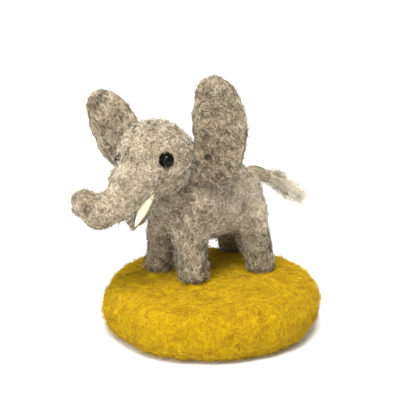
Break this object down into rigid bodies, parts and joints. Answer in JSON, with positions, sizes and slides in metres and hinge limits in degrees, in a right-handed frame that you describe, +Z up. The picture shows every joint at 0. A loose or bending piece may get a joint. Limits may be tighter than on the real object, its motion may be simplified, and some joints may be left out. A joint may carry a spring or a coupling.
{
  "type": "felted animal figurine",
  "caption": "Small needle-felted wool elephant with bead eyes and tusks, on a thick round felt base; head, ears, trunk and tail bend on inner wires.",
  "frame": {"origin": "centre of the base's flat underside", "axes": "+Z up, the elephant looks along -Y, its left side is +X"},
  "size_m": [0.0914, 0.1113, 0.1073],
  "materials": {
    "yellow_felt": "matte felted wool",
    "grey_felt": "matte heathered felted wool",
    "core_wool": "matte loose wool",
    "tuft_wool": "loose combed wool",
    "armature_wire": "bare wire",
    "bead": "glossy black",
    "thread": "matte thread",
    "tusk": "satin cream"
  },
  "bodies": {
    "elephant": {"base_core": "core_wool", "base_cover": "yellow_felt", "body_core": "core_wool", "body_felt": "grey_felt", "leg_front_left": "grey_felt", "leg_front_right": "grey_felt", "leg_hind_left": "grey_felt", "leg_hind_right": "grey_felt", "front_leg_wire": "armature_wire", "hind_leg_wire": "armature_wire", "spine_wire": "armature_wire", "neck_felt": "grey_felt"},
    "head": {"head_core": "core_wool", "head_felt": "grey_felt", "muzzle_felt": "grey_felt", "lower_jaw": "grey_felt", "eye_left": "bead", "eye_right": "bead", "eye_thread": "thread", "tusk_left": "tusk", "tusk_right": "tusk", "trunk_wire_head": "armature_wire"},
    "left_ear": {"ear_left": "grey_felt"},
    "right_ear": {"ear_right": "grey_felt"},
    "trunk": {"trunk_felt": "grey_felt", "trunk_wire_middle": "armature_wire"},
    "trunk_end": {"trunk_tip_felt": "grey_felt", "trunk_wire_tip": "armature_wire"},
    "tail": {"tail_felt": "grey_felt", "tail_wire_root": "armature_wire"},
    "tail_end": {"tail_end_felt": "grey_felt", "tail_tuft": "tuft_wool", "tail_wire_end": "armature_wire"}
  },
  "joints": [
    {"name": "head_turn", "type": "hinge", "parent": "elephant", "child": "head", "pos_m": [-0.0093, -0.0152, 0.0645], "axis": [0, 0, 1], "range_deg": [-45, 8]},
    {"name": "ear_left_flap", "type": "hinge", "parent": "head", "child": "left_ear", "pos_m": [0.00633, -0.01258, 0.07025], "axis": [0, 0, 1], "range_deg": [-30, 15]},
    {"name": "ear_right_flap", "type": "hinge", "parent": "head", "child": "right_ear", "pos_m": [-0.02099, -0.02591, 0.07025], "axis": [0, 0, -1], "range_deg": [-30, 15]},
    {"name": "trunk_lift", "type": "hinge", "parent": "head", "child": "trunk", "pos_m": [-0.0015, -0.04032, 0.061], "axis": [-0.9038, 0.428, 0], "range_deg": [-15, 25]},
    {"name": "trunk_curl", "type": "hinge", "parent": "trunk", "child": "trunk_end", "pos_m": [-0.00561, -0.049, 0.0567], "axis": [-0.9038, 0.428, 0], "range_deg": [-20, 20]},
    {"name": "tail_swing", "type": "hinge", "parent": "elephant", "child": "tail", "pos_m": [-0.0093, 0.0282, 0.0586], "axis": [0, 0, 1], "range_deg": [-22, 22]},
    {"name": "tail_lift", "type": "hinge", "parent": "tail", "child": "tail_end", "pos_m": [-0.0093, 0.039, 0.054], "axis": [1, 0, 0], "range_deg": [-25, 30]}
  ]
}
